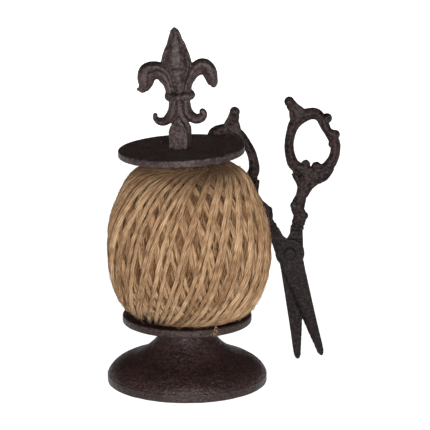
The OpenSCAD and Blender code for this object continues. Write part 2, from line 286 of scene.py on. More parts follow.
@dataclass(frozen=True)
class CastIron:
    """Sand-cast iron under a dark brown wax, paler where hands rub it, with painted shade in its hollows and
    painted glints.
    """

    name: str
    dark: Colour
    light: Colour
    worn_and_glint: Colour
    grain: float
    speck_and_glint: float
    gloss: float = 0.4
    haze: float = 0.24
    shine: float = 0.3
    painted_sheen_height: float = 0.0
    painted_sheen_fade: float = 0.02
    painted_sheen_light: Colour = (0.04, 0.0255, 0.0238)
    blotch_scale: float = 90.0
    sand_scale: float = 430.0
    dust_scale: float = 800.0
    pit_scale: float = 420.0
    tones: Pair = (0.4, 0.61)
    hollow_shade_range: Pair = (0.42, 0.495)
    edges: Pair = (0.505, 0.58)

    def material(self) -> Material:
        """Makes the node material, lighter and browner above a given height, where one is given, as a painted
        sheen on the handles.

        Returns:
            The material.
        """
        g = Graph(self.name)
        spot = g.place("Object")
        blotch = g.noise(spot, self.blotch_scale, 3.0)
        sand = g.noise(spot, self.sand_scale, 4.0)
        dust = g.noise(spot, self.dust_scale, 2.0)
        tone = g.share((blotch, 0.3), (sand, 0.7))
        first, last = self.tones
        colour = g.ramp(tone, [(first, self.dark), (last, self.light)])
        # Painted sheen: above the given height the colour ramps to a lighter tone, standing in for the
        # highlights on the rounded handles.
        if self.painted_sheen_height:
            painted_sheen_mask = g.span(g.height(spot), (self.painted_sheen_height - self.painted_sheen_fade, 0.0), (self.painted_sheen_height, 1.0))
            colour = g.mix(painted_sheen_mask, colour, g.ramp(tone, [(first, self.dark), (last, self.painted_sheen_light)]))
        # Painted shade: where the surface dips into hollows and creases, the colour darkens towards a third
        # of the dark tone.
        hollow = g.span(g.wear(), (self.hollow_shade_range[0], 0.85), (self.hollow_shade_range[1], 0.0))
        shaded = g.mix(hollow, colour, tuple(0.35 * c for c in self.dark))
        # Pale edges where hands rub the iron, and pale flecks: real wear, partly painted glints that stand in
        # for small highlights.
        rubbed = g.span(g.wear(), (self.edges[0], 0.0), (self.edges[1], 1.0))
        edge = g.math("MULTIPLY", rubbed, g.span(sand, (0.42, 0.0), (0.62, 0.8)))
        flecks_and_glints = g.span(dust, (0.53, 0.0), (0.66, self.speck_and_glint))
        speck_and_glint = g.math("MULTIPLY", flecks_and_glints, g.span(sand, (0.42, 0.1), (0.6, 1.0)))
        pits = g.span(g.pits(spot, self.pit_scale), (0.05, 0.0), (0.35, 1.0))
        coarse = g.bump(pits, self.grain * 0.4, g.bump(sand, self.grain))
        return g.dressed({
            "Base Color": g.mix(g.math("MAXIMUM", edge, speck_and_glint), shaded, self.worn_and_glint),
            "Roughness": g.span(dust, (0.3, self.gloss), (0.7, self.gloss + self.haze)),
            "Normal": g.bump(dust, self.grain * 0.5, coarse),
            "Specular IOR Level": self.shine})


@dataclass(frozen=True)
class Steel:
    """Plain or blackened steel of the fasteners."""

    name: str
    dark: Colour = (0.3, 0.29, 0.28)
    light: Colour = (0.45, 0.44, 0.42)
    metallic: float = 1.0
    shine: float = 0.5
    haze_scale: float = 300.0
    scratch_scale: Triple = (3000.0, 3000.0, 150.0)
    scratch_depth: float = 0.00004

    def material(self) -> Material:
        """Makes the node material, hazy and finely scratched.

        Returns:
            The material.
        """
        g = Graph(self.name)
        spot = g.place("Object")
        haze = g.noise(spot, self.haze_scale, 4.0)
        scratch = g.noise(g.scaled(spot, self.scratch_scale), 1.0, 2.0)
        return g.dressed({
            "Base Color": g.ramp(haze, [(0.35, self.dark), (0.65, self.light)]),
            "Roughness": g.span(haze, (0.3, 0.34), (0.7, 0.52)),
            "Normal": g.bump(scratch, self.scratch_depth),
            "Metallic": self.metallic,
            "Specular IOR Level": self.shine})


@dataclass(frozen=True)
class Jute:
    """Natural jute in spun plies: matt, streaked along the fibres, uneven, and darker near the spindle's axis
    as painted shade.
    """

    name: str
    run: float = 0.0
    dark: Colour = (0.15, 0.071, 0.03)
    mid: Colour = (0.412, 0.244, 0.127)
    pale: Colour = (0.65, 0.447, 0.268)
    streak: float = 0.007
    stretch: float = 0.05
    streak_scale: Triple = (1400.0, 1400.0, 350.0)
    stretch_scale: float = 160.0
    patch_scale: float = 60.0
    axis_shade_radii: Pair = (0.03, 0.05)
    relief: float = 0.0007

    def material(self) -> Material:
        """Makes the node material, streaked along u or, without a run, along the object's height.

        Returns:
            The material.
        """
        g = Graph(self.name)
        spot = g.place("Object")
        if self.run:
            lay = g.place("UV")
            fibre = g.noise(g.scaled(lay, (self.run / self.streak, 14.0, 1.0)), 1.0, 3.0)
            length = g.noise(g.scaled(lay, (self.run / self.stretch, 0.6, 1.0)), 1.0, 2.0)
        else:
            fibre = g.noise(g.scaled(spot, self.streak_scale), 1.0, 3.0)
            length = g.noise(spot, self.stretch_scale, 2.0)
        patch = g.noise(spot, self.patch_scale, 2.0)
        tone = g.share((fibre, 0.58), (length, 0.32), (patch, 0.1))
        colour = g.ramp(tone, [(0.4, self.dark), (0.6, self.pale), (0.5, self.mid)])
        from_axis = g.length(g.scaled(spot, (1.0, 1.0, 0.0)))
        # Painted shade: the jute darkens towards the spindle's axis, where the strands dive into the hole
        # under the plate.
        painted_axis_shade = g.span(from_axis, (self.axis_shade_radii[0], 0.85), (self.axis_shade_radii[1], 0.0))
        return g.dressed({
            "Base Color": g.mix(painted_axis_shade, colour, tuple(0.5 * c for c in self.dark)),
            "Normal": g.bump(fibre, self.relief),
            "Roughness": 0.9,
            "Specular IOR Level": 0.2,
            "Sheen Weight": 0.015,
            "Sheen Roughness": 0.5})


# Shaping


def smooth_rows(rows: Rows, steps: int, closed: bool = False) -> np.ndarray:
    """Draws a smooth line through rows of numbers.

    Args:
        rows: The given rows.
        steps: Steps between two given rows.
        closed: Whether the line runs back to its start.

    Returns:
        The rows of the line.
    """
    given = np.array(rows, dtype=float)
    count = len(given)
    line = []
    for i in range(count if closed else count - 1):
        if closed:
            a, b, c, d = (given[(i + k) % count] for k in (-1, 0, 1, 2))
        else:
            a, b, c, d = (given[min(max(i + k, 0), count - 1)] for k in (-1, 0, 1, 2))
        for t in np.arange(steps) / steps:
            bend = (2 * a - 5 * b + 4 * c - d) * t**2
            swing = (3 * b - a - 3 * c + d) * t**3
            line.append(0.5 * (2 * b + (c - a) * t + bend + swing))
    if not closed:
        line.append(given[-1])
    return np.array(line)


def cubic(a: Pair, b: Pair, c: Pair, d: Pair, steps: int) -> Points:
    """Draws a cubic curve.

    Args:
        a: Where it starts.
        b: The point that it sets out towards.
        c: The point that it comes in from.
        d: Where it ends.
        steps: Steps along it.

    Returns:
        Points of the curve.
    """
    points = []
    for t in np.linspace(0.0, 1.0, steps + 1):
        weights = ((1 - t) ** 3, 3 * (1 - t) ** 2 * t, 3 * (1 - t) * t**2, t**3)
        points.append(tuple(float(sum(w * p[k] for w, p in zip(weights, (a, b, c, d)))) for k in (0, 1)))
    return points


def flat_line(start: float, stop: float, height: float, steps: int) -> Points:
    """Returns points of a level line of a profile, from one radius to another."""
    return [(x, height) for x in np.linspace(start, stop, steps)]


def arc(centre: Pair, radius: float, start: float, stop: float, steps: int) -> Points:
    """Returns points of an arc, with its angles in degrees."""
    angles = np.radians(np.linspace(start, stop, steps + 1))
    return [(centre[0] + radius * math.cos(t), centre[1] + radius * math.sin(t)) for t in angles]


def flat_places(rows: np.ndarray, closed: bool = False) -> list[Matrix]:
    """Sets cross-sections square to a line in the upright plane that faces the front.

    Args:
        rows: Rows of x, z, half width, half depth and, where given, y.
        closed: Whether the line runs back to its start.

    Returns:
        A matrix for each cross-section.
    """
    places = []
    count = len(rows)
    for i, row in enumerate(rows):
        before = rows[i - 1] if closed or i else row
        after = rows[(i + 1) % count] if closed or i + 1 < count else row
        ahead = Vector((after[0] - before[0], 0.0, after[1] - before[1])).normalized()
        x, z, wide, deep = row[:4]
        y = row[4] if len(row) > 4 else 0.0
        places.append(Matrix(((ahead.z * wide, 0.0, ahead.x, x), (0.0, deep, 0.0, y),
                              (-ahead.x * wide, 0.0, ahead.z, z), (0.0, 0.0, 0.0, 1.0))))
    return places


def loop_edges(verts: list[bmesh.types.BMVert]) -> list[bmesh.types.BMEdge]:
    """Returns the edges that join the given vertices to each other, in the same order each time."""
    ring = set(verts)
    return list(dict.fromkeys(e for v in verts for e in v.link_edges if e.other_vert(v) in ring))


def sweep(bm: Solid, places: list[Matrix], sides: int = 16, closed: bool = False, power: float = 2.0) -> None:
    """Draws a closed tube through cross-sections.

    Args:
        bm: The mesh that the tube goes into.
        places: A matrix for each cross-section.
        sides: Sides of the tube.
        closed: Whether the tube runs back into itself.
        power: Shape of the section: 2 is an ellipse, less is pointed, more is square.
    """
    ring = bmesh.ops.create_circle(bm, segments=sides, radius=1.0)["verts"]
    for v in ring:
        for k in (0, 1):
            v.co[k] = math.copysign(abs(v.co[k]) ** (2.0 / power), v.co[k])
    bmesh.ops.transform(bm, matrix=places[0], verts=ring)
    first = loop_edges(ring)
    edges = first
    for before, place in zip(places, places[1:]):
        grown = bmesh.ops.extrude_edge_only(bm, edges=edges)["geom"]
        ring = [g for g in grown if isinstance(g, bmesh.types.BMVert)]
        bmesh.ops.transform(bm, matrix=place @ before.inverted(), verts=ring)
        edges = loop_edges(ring)
    if closed:
        bmesh.ops.bridge_loops(bm, edges=first + edges)
    else:
        bmesh.ops.edgeloop_fill(bm, edges=first)
        bmesh.ops.edgeloop_fill(bm, edges=edges)


def draw(bm: Solid, rows: Rows | np.ndarray, sides: int, power: float = 2.0) -> None:
    """Draws an open tube along rows of x, z, half width and half depth."""
    sweep(bm, flat_places(np.array(rows)), sides=sides, power=power)


def turned_profile(profile: Points, steps: int) -> Solid:
    """Turns a closed profile about the upright axis.

    Args:
        profile: Points of radius and height.
        steps: Steps of the full turn.

    Returns:
        The turned shape.
    """
    bm = bmesh.new()
    verts = [bm.verts.new((r, 0.0, z)) for r, z in profile]
    edges = [bm.edges.new(pair) for pair in zip(verts, verts[1:] + verts[:1])]
    bmesh.ops.spin(bm, geom=verts + edges, cent=(0, 0, 0), axis=(0, 0, 1), angle=math.tau, steps=steps,
                   use_merge=True)
    bmesh.ops.remove_doubles(bm, verts=bm.verts, dist=MERGE_DISTANCE)
    return bm


def prism(bm: Solid, outline: Rows, low: float, high: float) -> list[bmesh.types.BMVert]:
    """Raises an outline in the upright plane into a flat solid.

    Args:
        bm: The mesh that the solid goes into.
        outline: Points of x and z.
        low: Depth of the first face.
        high: Depth of the second face.

    Returns:
        The vertices of the second face, in the outline's order.
    """
    face = bm.faces.new([bm.verts.new((x, low, z)) for x, z in outline])
    raised = bmesh.ops.extrude_face_region(bm, geom=[face])["geom"]
    verts = [g for g in raised if isinstance(g, bmesh.types.BMVert)]
    bmesh.ops.translate(bm, verts=verts, vec=(0.0, high - low, 0.0))
    places = {(round(v.co.x, 4), round(v.co.z, 4)): v for v in verts}
    return [places[(round(x, 4), round(z, 4))] for x, z in outline]


def bead(bm: Solid, centre: Triple, radii: Triple) -> None:
    """Adds a rounded lump with its half sizes along each axis."""
    place = Matrix.Translation(centre) @ Matrix.Diagonal((*radii, 1.0))
    bmesh.ops.create_uvsphere(bm, u_segments=20, v_segments=12, radius=1.0, matrix=place)


def hoop(bm: Solid, centre: Triple, radii: Pair, thick: float) -> None:
    """Adds a level ring of round section.

    Args:
        bm: The mesh that the ring goes into.
        centre: Its middle.
        radii: Its radius across and its radius in depth.
        thick: Its half thickness.
    """
    places = []
    for t in np.linspace(0.0, math.tau, 41)[:-1]:
        c, s = math.cos(t), math.sin(t)
        places.append(Matrix(((c * thick, 0.0, -s, centre[0] + radii[0] * c),
                              (s * thick, 0.0, c, centre[1] + radii[1] * s),
                              (0.0, thick, 0.0, centre[2]),
                              (0.0, 0.0, 0.0, 1.0))))
    sweep(bm, places, sides=12, closed=True)


def fuse(bm: Solid, voxel: float, relax: int) -> Solid:
    """Melts overlapping solids into one casting.

    Args:
        bm: The solids, which are used up.
        voxel: Size of the casting's facets.
        relax: Rounds of smoothing.

    Returns:
        The casting.
    """
    bmesh.ops.recalc_face_normals(bm, faces=bm.faces)
    mesh = bpy.data.meshes.new("melt")
    bm.to_mesh(mesh)
    bm.free()
    melt = bpy.data.objects.new("melt", mesh)
    bpy.context.scene.collection.objects.link(melt)
    remesh = melt.modifiers.new("melt", "REMESH")
    remesh.mode = "VOXEL"
    remesh.voxel_size = voxel
    graph = bpy.context.evaluated_depsgraph_get()
    solid = bpy.data.meshes.new_from_object(melt.evaluated_get(graph))
    out = bmesh.new()
    out.from_mesh(solid)
    bpy.data.objects.remove(melt)
    bpy.data.meshes.remove(mesh)
    bpy.data.meshes.remove(solid)
    for _ in range(relax):
        bmesh.ops.smooth_vert(out, verts=out.verts, factor=0.5,
                              use_axis_x=True, use_axis_y=True, use_axis_z=True)
    return out


def roughen(bm: Solid, lumps: float, depth: float, seed: float) -> None:
    """Gives a surface the unevenness of a sand casting.

    Args:
        bm: The mesh to roughen.
        lumps: Size of the lumps.
        depth: Height of the lumps.
        seed: Shifts the pattern.
    """
    bm.normal_update()
    shift = Vector((seed, 2.7 * seed, -1.3 * seed))
    moves = [noise.fractal(v.co / lumps + shift, 0.9, 2.1, 3) * depth for v in bm.verts]
    for v, move in zip(bm.verts, moves):
        v.co += v.normal * move


def set_piece(bm: Solid, name: str, place: Matrix, body: Body, material: Material,
              nodes: tuple[str, ...] = (), crease: float = TURNED_CREASE) -> None:
    """Puts a finished mesh in its place on a body.

    Args:
        bm: The mesh in millimetres, which is used up.
        name: Name of the piece.
        place: Where the piece stands, in millimetres.
        body: The body that it rides on.
        material: Its finish.
        nodes: The solids that it stands for.
        crease: Angle past which an edge is sharp, in degrees.
    """
    bmesh.ops.transform(bm, matrix=Matrix.Scale(MM, 4) @ place, verts=bm.verts)
    bmesh.ops.recalc_face_normals(bm, faces=bm.faces)
    mesh = bpy.data.meshes.new(name)
    bm.to_mesh(mesh)
    bm.free()
    mesh.shade_smooth()
    mesh.set_sharp_from_angle(angle=math.radians(crease))
    set_mesh(mesh, name, body, material, nodes)


def set_mesh(mesh: bpy.types.Mesh, name: str, body: Body, material: Material,
             nodes: tuple[str, ...] = ()) -> None:
    """Makes a mesh a piece of a body.

    Args:
        mesh: The mesh in metres, in its place.
        name: Name of the piece.
        body: The body that it rides on.
        material: Its finish.
        nodes: The solids that it stands for.
    """
    mesh.materials.clear()
    mesh.materials.append(material)
    piece = bpy.data.objects.new(name, mesh)
    bpy.context.scene.collection.objects.link(piece)
    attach(piece, body.value)
    if nodes:
        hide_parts(*nodes)
    log.info("%s: %d faces", name, len(mesh.polygons))


def set_strands(name: str, lines: Lines, widths: Lines, thick: float, resolution: int, jute: Material,
                nodes: tuple[str, ...] = ()) -> None:
    """Lays round strands along lines as one piece of the ball, with their length along u.

    Args:
        name: Name of the piece.
        lines: Points of each strand in millimetres.
        widths: Part of the thickness at each point of each strand.
        thick: Half thickness in millimetres.
        resolution: Roundness of the strands.
        jute: Their finish.
        nodes: The solids that they stand for.
    """
    curve = bpy.data.curves.new(name, "CURVE")
    curve.dimensions = "3D"
    curve.bevel_depth = thick * MM
    curve.bevel_resolution = resolution
    curve.use_fill_caps = True
    for line, width in zip(lines, widths):
        spline = curve.splines.new("POLY")
        spline.points.add(len(line) - 1)
        spline.points.foreach_set("co", np.column_stack([line * MM, np.ones(len(line))]).ravel())
        spline.points.foreach_set("radius", width)
    holder = bpy.data.objects.new(name + "_line", curve)
    bpy.context.scene.collection.objects.link(holder)
    graph = bpy.context.evaluated_depsgraph_get()
    mesh = bpy.data.meshes.new_from_object(holder.evaluated_get(graph))
    mesh.name = name
    bpy.data.objects.remove(holder)
    bpy.data.curves.remove(curve)
    mesh.shade_smooth()
    set_mesh(mesh, name, Body.TWINE, jute, nodes)


# Sub-assemblies


@dataclass(frozen=True)
class Spindle:
    """The leaning rod that the ball, the plate and the finial stand on."""

    lean: float = 2.4
    seat: float = 46.6
    plate: float = 117.4
    plate_thick: float = 5.0
    spigot_end: float = 115.48
    steel_nodes: tuple[str, ...] = ("tie_rod", "base_washer", "base_lock_washer", "base_nut", "tray_washer",
                                    "tray_nut", "spindle_sleeve", "finial_retainer")
    black_nodes: tuple[str, ...] = ("pivot_screw", "pivot_washer", "pivot_nut")

    def place(self, height: float) -> Matrix:
        """Returns the leaning frame at a height along the spindle."""
        turn = Matrix.Rotation(-math.radians(self.lean), 4, "Y")
        return Matrix.Translation((0.0, 0.0, self.seat)) @ turn @ Matrix.Translation((0.0, 0.0, height))

    def dress(self, steel: Material, black: Material) -> None:
        """Gives the fasteners their finishes.

        Args:
            steel: Finish of the rod and its fastenings.
            black: Finish of the scissors' pivot.
        """
        for names, finish in ((self.steel_nodes, steel), (self.black_nodes, black)):
            for name in names:
                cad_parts[name].material_slots[0].material = finish


@dataclass
class Foot:
    """Hollow bell foot with an upright rim, and the shallow dish on its neck."""

    radius: float = 56.5
    height: float = 43.6
    rim: float = 6.4
    wall: float = 5.0
    neck: float = 17.1
    web: float = 18.6
    waist: Pair = (0.703, 0.416)
    edge: float = 0.9
    dish_radius: float = 45.6
    dish_height: float = 5.4
    dish_floor: float = 3.0
    rod_hole: float = 3.5

    def bell(self) -> Solid:
        """Turns the foot, with its hollow below.

        Returns:
            The foot.
        """
        r, h, e = self.radius, self.height, self.edge
        inner = r - self.wall
        hollow = h - self.web
        waist = (r * self.waist[0], h * self.waist[1])
        shoulder = cubic((r - 0.3, self.rim), (r - 2.2, h * 0.25), (r * 0.884, h * 0.341), waist, 18)
        throat = cubic(waist, (r * 0.609, h * 0.455), (self.neck + 0.6, h * 0.658), (self.neck, h), 22)
        inside = cubic((inner, self.rim - 1), (inner - 2, h * 0.22), (r * 0.56, h * 0.4),
                       (self.neck - 5, hollow), 20)
        profile = [(self.rod_hole, hollow)] + inside[::-1] + [(inner, 3.0), (inner, 0.5), (inner + 0.5, 0.0)]
        profile += flat_line(inner + 1.2, r - 1.2, 0.0, 4)
        profile += arc((r - e, e), e, -80, 0, 5) + [(r, 2.4), (r, 4.2)]
        profile += arc((r - e, self.rim - e), e, 0, 62, 5)
        profile += shoulder[1:] + throat[1:] + flat_line(self.neck - 2, self.rod_hole, h, 6)
        return turned_profile(profile, 180)

    def dish(self) -> Solid:
        """Turns the dish, with its raised rim.

        Returns:
            The dish, standing on its own floor.
        """
        r, h, f = self.dish_radius, self.dish_height, self.dish_floor
        profile = flat_line(self.rod_hole, r - 2.0, 0.0, 12)
        profile += arc((r - 1.2, 1.2), 1.2, -90, 0, 6) + [(r, 2.0), (r, 3.2)]
        profile += arc((r - 1.0, h - 1.0), 1.0, 0, 90, 6) + arc((r - 2.0, h - 0.8), 0.8, 90, 170, 5)
        profile += cubic((r - 2.9, h - 1.2), (r - 3.3, f + 0.7), (r - 4.2, f), (r - 6.2, f), 8)
        profile += flat_line(r - 8.0, self.rod_hole, f, 10)
        return turned_profile(profile, 160)

    def build(self, iron: Material) -> None:
        """Builds the foot and the dish.

        Args:
            iron: Their finish.
        """
        bell = self.bell()
        roughen(bell, 9.0, 0.16, 3.1)
        set_piece(bell, "foot", Matrix(), Body.HOLDER, iron, ("base_bell",))
        dish = self.dish()
        roughen(dish, 8.0, 0.1, 7.4)
        seat = Matrix.Translation((0.0, 0.0, self.height))
        set_piece(dish, "dish", seat, Body.HOLDER, iron, ("tray",))


@dataclass
class TopPlate:
    """Round plate that keeps the ball on the spindle, with its rim a little off its hole."""

    radius: float = 44.2
    thick: float = 5.0
    hole: float = 5.52
    hub: float = 12.0
    rim: float = 2.0
    offset: float = 1.3

    def build(self, spindle: Spindle, iron: Material) -> None:
        """Builds the plate.

        Args:
            spindle: The spindle that carries it.
            iron: Its finish.
        """
        r, t = self.radius, self.thick
        profile = flat_line(self.hole, r - 1.6, 0.0, 12)
        profile += arc((r - 1.0, 1.0), 1.0, -90, 0, 5) + [(r, 1.8), (r, t - 1.8)]
        profile += arc((r - 0.9, t - 0.9), 0.9, 0, 90, 6)
        profile += flat_line(r - self.rim, self.hole, t, 14)
        bm = turned_profile(profile, 160)
        for v in bm.verts:
            part = (v.co.xy.length - self.hub) / (r - self.hub - self.rim)
            v.co.x += self.offset * min(max(part, 0.0), 1.0)
        roughen(bm, 8.0, 0.09, 12.6)
        set_piece(bm, "plate", spindle.place(spindle.plate), Body.TOP, iron, ("top_plate",))


@dataclass
class Finial:
    """Fleur-de-lis finial: spear, two petals, a beaded collar and two curls over a square plinth."""

    plinth: float = 13.2
    plinth_x: float = 1.0
    plinth_turn: float = -14.5
    collar: Triple = (1.9, 0.0, 36.5)
    collar_beads: int = 7
    spigot_bore: float = 3.06
    spigot_radius: float = 5.46
    spear: Rows = (
        (1.9, 36, 4.5, 5), (1.7, 43.4, 5.2, 5.4), (1.3, 49.1, 7.3, 6), (0.8, 54.7, 9.9, 6.6),
        (0.5, 58.3, 10.9, 6.9), (0.5, 61.8, 10.4, 6.8), (0.5, 65.3, 9.5, 6.4), (0.6, 68.8, 8.2, 5.8),
        (0.8, 72.3, 6.8, 5.1), (0.5, 75.8, 5.4, 4.3), (0.6, 79.3, 4.2, 3.5), (0.4, 82.1, 3.2, 2.5),
        (0.2, 83.7, 1.8, 1.6), (-0.1, 85, 0.5, 0.5))
    left_petal: Rows = (
        (-4.4, 37.4, 3.1, 4), (-5.3, 43.7, 3.5, 4.2), (-7.1, 48.4, 4.4, 4.2), (-11, 53.5, 5.4, 4.2),
        (-16.1, 54.4, 6, 4.2), (-19.7, 51.4, 6.3, 4.2), (-20.6, 47.2, 5.1, 4), (-21.8, 44.4, 4.3, 3.8),
        (-23, 41.6, 3.1, 3))
    left_roll: Rows = (
        (-2.5, 40.2, 1.1, 5.2), (-3.6, 47.9, 1.4, 5.8), (-5.5, 52.9, 1.8, 6.3), (-8.4, 56.3, 2.1, 6.5),
        (-12.5, 58, 2.4, 6.5), (-17, 57.9, 2.8, 6.4), (-21.4, 55.3, 3.4, 6.2), (-22.7, 50.1, 3.4, 5.8),
        (-22.4, 45.9, 3.1, 5), (-23.3, 42.4, 2.5, 4))
    right_petal: Rows = (
        (7.4, 37, 2.8, 4), (7.9, 43.2, 2.8, 4.2), (9.5, 47.7, 3.3, 4.2), (12.5, 52.8, 4.4, 4.2),
        (16.8, 55.8, 5.6, 4.2), (21.3, 55.3, 5.6, 4.2), (23.6, 51.3, 5.2, 4), (24.6, 47.4, 4.4, 3.6),
        (25.5, 43.9, 3.3, 2.8))
    right_roll: Rows = (
        (5.4, 38.5, 1, 5.2), (6.8, 44.6, 1.3, 5.8), (8.9, 49.8, 1.6, 6.3), (11.6, 54.6, 2.1, 6.5),
        (14.8, 57.8, 2.5, 6.5), (19, 58.6, 2.8, 6.4), (22.7, 56.5, 2.9, 6.2), (24.8, 51.6, 2.7, 5.4),
        (25.8, 46.7, 2.5, 4.6), (26.2, 43.8, 2.1, 3.6))
    left_curl: Rows = (
        (-2.3, 35, 3.6, 6.6), (-2.7, 28.1, 3.7, 7), (-4.5, 23.2, 3.8, 6.9), (-8.8, 19.2, 3.1, 5.6),
        (-12.9, 19.1, 2.7, 4.4), (-15.4, 21.2, 2, 3.2), (-15.7, 23.6, 1.6, 2.4))
    right_curl: Rows = (
        (5.5, 35, 3.5, 6.6), (6.1, 27.7, 3.6, 7), (7.9, 23, 3.8, 6.9), (11.8, 20, 3.5, 5.8),
        (15.6, 20.3, 3.4, 4.6), (18, 22.6, 2.6, 3.4), (17.4, 25.4, 2, 2.6))
    tip_beads: Beads = (
        ((-23.6, 0.0, 42.0), (2.9, 3.4, 2.4)), ((-26.4, 0.0, 42.4), (1.5, 1.9, 1.3)),
        ((25.7, 0.0, 43.8), (2.5, 3.4, 2.5)), ((-15.7, 0.0, 23.4), (1.8, 2.6, 1.8)),
        ((17.2, 0.0, 24.8), (2.3, 3.0, 2.3)))
    end_beads: Beads = (
        ((-5.9, 0.0, 36.6), (2.9, 3.6, 3.4)), ((9.6, 0.0, 37.0), (2.9, 3.6, 3.6)))

    def leaf(self, bm: Solid) -> None:
        """Adds the pointed leaf: a flat back, a swelling middle above a smooth throat, and rimmed edges.

        Args:
            bm: The mesh that it goes into.
        """
        rows = smooth_rows(self.spear, 5)
        draw(bm, rows * np.array((1, 1, 1, 0.6)), 24, 2.3)
        draw(bm, rows[:24] * np.array((1, 1, 0.86, 0.84)), 24, 1.8)
        swell = rows[17:] * np.array((1, 1, 0.8, 1.06))
        swell[0, 2:] *= 0.82
        draw(bm, swell, 24, 1.9)
        for side in (-1, 1):
            rim = [(x + side * w * 0.9, z, max(w * 0.1, 0.35), d * 0.72) for x, z, w, d in rows[16:-6]]
            draw(bm, rim, 10)
            vein = [(x + side * w * 0.3, z, 0.55, d * 1.08) for x, z, w, d in rows[22:-14]]
            draw(bm, vein, 8)

    def sprays(self, bm: Solid) -> None:
        """Adds the petals with their rolled edges, and the curls below the collar.

        Args:
            bm: The mesh that they go into.
        """
        for rows in (self.left_petal, self.right_petal):
            draw(bm, smooth_rows(rows, 6), 20, 1.5)
        for rows in (self.left_roll, self.right_roll):
            draw(bm, smooth_rows(rows, 6) * np.array((1, 1, 1.25, 1)), 16, 2.4)
        for rows in (self.left_curl, self.right_curl):
            curl = smooth_rows(rows, 6)
            draw(bm, curl, 16)
            draw(bm, [(x - 0.2 * w, z, w * 0.34, d * 1.07) for x, z, w, d in curl[4:-6]], 10)
        for centre, radii in self.tip_beads:
            bead(bm, centre, radii)

    def base(self, bm: Solid) -> None:
        """Adds the gabled plinth, turned a little on the plate, and the beaded collar.

        Args:
            bm: The mesh that they go into.
        """
        half = self.plinth / 2
        before = set(bm.verts)
        gable = [(-half, 0.1), (half, 0.1), (half, 13.6), (half * 0.55, 19.0), (0.8, 23.6),
                 (-half * 0.4, 19.6), (-half * 0.8, 15.9), (-half, 12.9)]
        prism(bm, gable, -half, half)
        verts = [v for v in bm.verts if v not in before]
        turn = Matrix.Rotation(math.radians(self.plinth_turn), 4, "Z")
        bmesh.ops.transform(bm, matrix=Matrix.Translation((self.plinth_x, 0.0, 0.0)) @ turn, verts=verts)
        prism(bm, [(-4.8, 0.1), (7.0, 0.1), (7.6, 36.0), (-4.4, 36.0)], -4.6, 4.6)
        hoop(bm, self.collar, (7.0, 6.0), 2.5)
        prism(bm, [(-5.0, 34.4), (8.8, 34.4), (8.8, 38.6), (-5.0, 38.6)], -5.4, 5.4)
        for k in range(self.collar_beads):
            angle = math.radians(360.0 * k / self.collar_beads - 9.0)
            rise = self.collar[2] + 0.2 + 0.5 * math.sin(3.0 * k)
            bead(bm, (self.collar[0] + 7.9 * math.sin(angle), -7.2 * math.cos(angle), rise), (3.1, 2.3, 2.6))
        for centre, radii in self.end_beads:
            bead(bm, centre, radii)

    def build(self, spindle: Spindle, iron: Material, steel: Material) -> None:
        """Builds the finial and the spigot under it.

        Args:
            spindle: The spindle that carries it.
            iron: Finish of the casting.
            steel: Finish of the spigot.
        """
        bm = bmesh.new()
        self.leaf(bm)
        self.sprays(bm)
        self.base(bm)
        casting = fuse(bm, 0.42, 3)
        roughen(casting, 2.6, 0.13, 5.2)
        top = spindle.place(spindle.plate + spindle.plate_thick)
        set_piece(casting, "fleur_finial", top, Body.FINIAL, iron, ("finial",), CAST_CREASE)
        low = spindle.spigot_end - spindle.plate - spindle.plate_thick
        bore, r = self.spigot_bore, self.spigot_radius
        profile = [(bore, low), (r - 0.46, low), (r, low + 0.5), (r, 0.4), (bore, 0.4)]
        set_piece(turned_profile(profile, 64), "finial_spigot", top, Body.FINIAL, steel)


